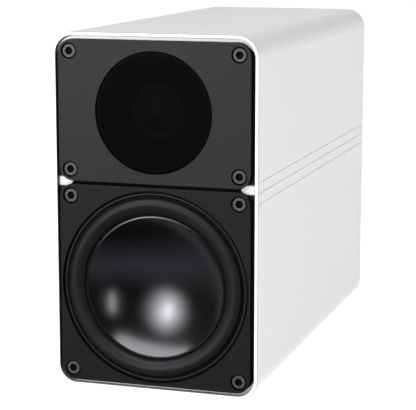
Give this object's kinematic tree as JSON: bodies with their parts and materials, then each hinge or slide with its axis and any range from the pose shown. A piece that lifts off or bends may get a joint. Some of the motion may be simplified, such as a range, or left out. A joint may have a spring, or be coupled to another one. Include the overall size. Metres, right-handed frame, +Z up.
{
  "type": "bookshelf speaker",
  "caption": "Slim two-way loudspeaker in a rounded satin shell, with black screwed driver plates, a dished metal cone, a mesh-covered tweeter, and a rear port and terminals.",
  "frame": {"origin": "centre of the footprint, on the surface that it stands on", "axes": "+Z up; the drivers face -Y and the terminals +Y; +X is the listener's right"},
  "size_m": [0.123, 0.277, 0.208],
  "materials": {
    "satin_shell": "satin lacquer over extruded aluminium",
    "bright_frame": "bright satin",
    "black_plate": "fine satin black",
    "black_basket": "satin black",
    "black_screw": "black oxide",
    "foam_seal": "closed-cell foam",
    "surround_rubber": "matte",
    "cone_metal": "dark anodised, satin",
    "bead_plastic": "matte",
    "former_metal": "natural foil",
    "copper_wire": "enamelled copper",
    "spider_cloth": "treated cotton",
    "zinc_steel": "zinc plated",
    "ferrite": "sintered",
    "board_strip": "phenolic board",
    "braid": "tinned braid",
    "mesh_black": "perforated, satin black",
    "guide_plastic": "satin",
    "dome_cloth": "coated fabric",
    "panel_black": "textured black",
    "port_plastic": "satin",
    "nickel": "nickel plated",
    "collar_plastic": "satin",
    "red_plastic": "gloss",
    "black_plastic": "gloss",
    "green_board": "solder mask",
    "coil_copper": "enamelled copper",
    "capacitor_film": "yellow film wrap",
    "resistor_cement": "cement",
    "nylon": "nylon",
    "lining_foam": "open-cell foam",
    "lead_red": "PVC"
  },
  "bodies": {
    "cabinet": {"cabinet_sleeve": "satin_shell", "front_frame": "bright_frame", "tweeter_gasket": "foam_seal", "woofer_gasket": "foam_seal", "tweeter_plate": "black_plate", "plate_screws": "black_screw", "woofer_frame": "black_basket", "woofer_surround": "surround_rubber", "surround_bead": "bead_plastic", "woofer_spider": "spider_cloth", "woofer_top_plate": "zinc_steel", "woofer_magnet": "ferrite", "woofer_pole_yoke": "zinc_steel", "woofer_magnet_can": "zinc_steel", "woofer_terminal_strip": "board_strip", "tinsel_leads": "braid", "tweeter_mesh": "mesh_black", "tweeter_waveguide": "guide_plastic", "waveguide_screws": "black_screw", "tweeter_surround": "dome_cloth", "tweeter_spacer": "guide_plastic", "tweeter_top_plate": "zinc_steel", "tweeter_magnet": "ferrite", "tweeter_pole_yoke": "zinc_steel", "tweeter_rear_chamber": "guide_plastic", "rear_frame": "bright_frame", "rear_gasket": "foam_seal", "rear_panel": "panel_black", "rear_panel_screws": "black_screw", "port_tube": "port_plastic", "terminal_cup": "collar_plastic", "terminal_cup_screws": "black_screw", "post_collars": "collar_plastic", "post_studs": "nickel", "solder_tags": "nickel", "post_nuts": "nickel", "crossover_board": "green_board", "board_standoffs": "nylon", "woofer_inductor": "coil_copper", "tweeter_inductor": "coil_copper", "film_capacitors": "capacitor_film", "wirewound_resistors": "resistor_cement", "foam_right": "lining_foam", "foam_left": "lining_foam", "foam_top": "lining_foam", "input_leads": "lead_red", "woofer_leads": "lead_red", "tweeter_leads": "lead_red"},
    "woofer_moving": {"woofer_cone": "cone_metal", "woofer_former": "former_metal", "woofer_winding": "copper_wire"},
    "tweeter_moving": {"tweeter_dome": "dome_cloth", "tweeter_former": "former_metal", "tweeter_winding": "copper_wire"},
    "red_washer": {"red_clamp_washer": "nickel"},
    "red_knob_body": {"red_knob": "red_plastic", "red_knob_insert": "nickel"},
    "black_washer": {"black_clamp_washer": "nickel"},
    "black_knob_body": {"black_knob": "black_plastic", "black_knob_insert": "nickel"}
  },
  "joints": [
    {"name": "woofer_travel", "type": "slide", "parent": "cabinet", "child": "woofer_moving", "axis": [0, -1, 0], "range_m": [-0.004, 0.004], "stiffness_N_per_m": 1250, "deforming": ["woofer_surround", "woofer_spider", "tinsel_leads"]},
    {"name": "tweeter_travel", "type": "slide", "parent": "cabinet", "child": "tweeter_moving", "axis": [0, -1, 0], "range_m": [-0.0003, 0.0003], "stiffness_N_per_m": 2000, "deforming": ["tweeter_surround"]},
    {"name": "red_washer_lift", "type": "slide", "parent": "cabinet", "child": "red_washer", "axis": [0, 1, 0], "range_m": [0, 0.004]},
    {"name": "red_knob_turn", "type": "hinge", "parent": "red_washer", "child": "red_knob_body", "pos_m": [0.00953, 0.1245, 0.058], "axis": [0, 1, 0], "range_deg": [0, 1801]},
    {"name": "black_washer_lift", "type": "slide", "parent": "cabinet", "child": "black_washer", "axis": [0, 1, 0], "range_m": [0, 0.004]},
    {"name": "black_knob_turn", "type": "hinge", "parent": "black_washer", "child": "black_knob_body", "pos_m": [-0.00953, 0.1245, 0.058], "axis": [0, 1, 0], "range_deg": [0, 1801]}
  ],
  "couplings": [
    {"joint": "red_knob_turn", "follows": "red_washer_lift", "rad_per_m": 7854},
    {"joint": "black_knob_turn", "follows": "black_washer_lift", "rad_per_m": 7854}
  ]
}
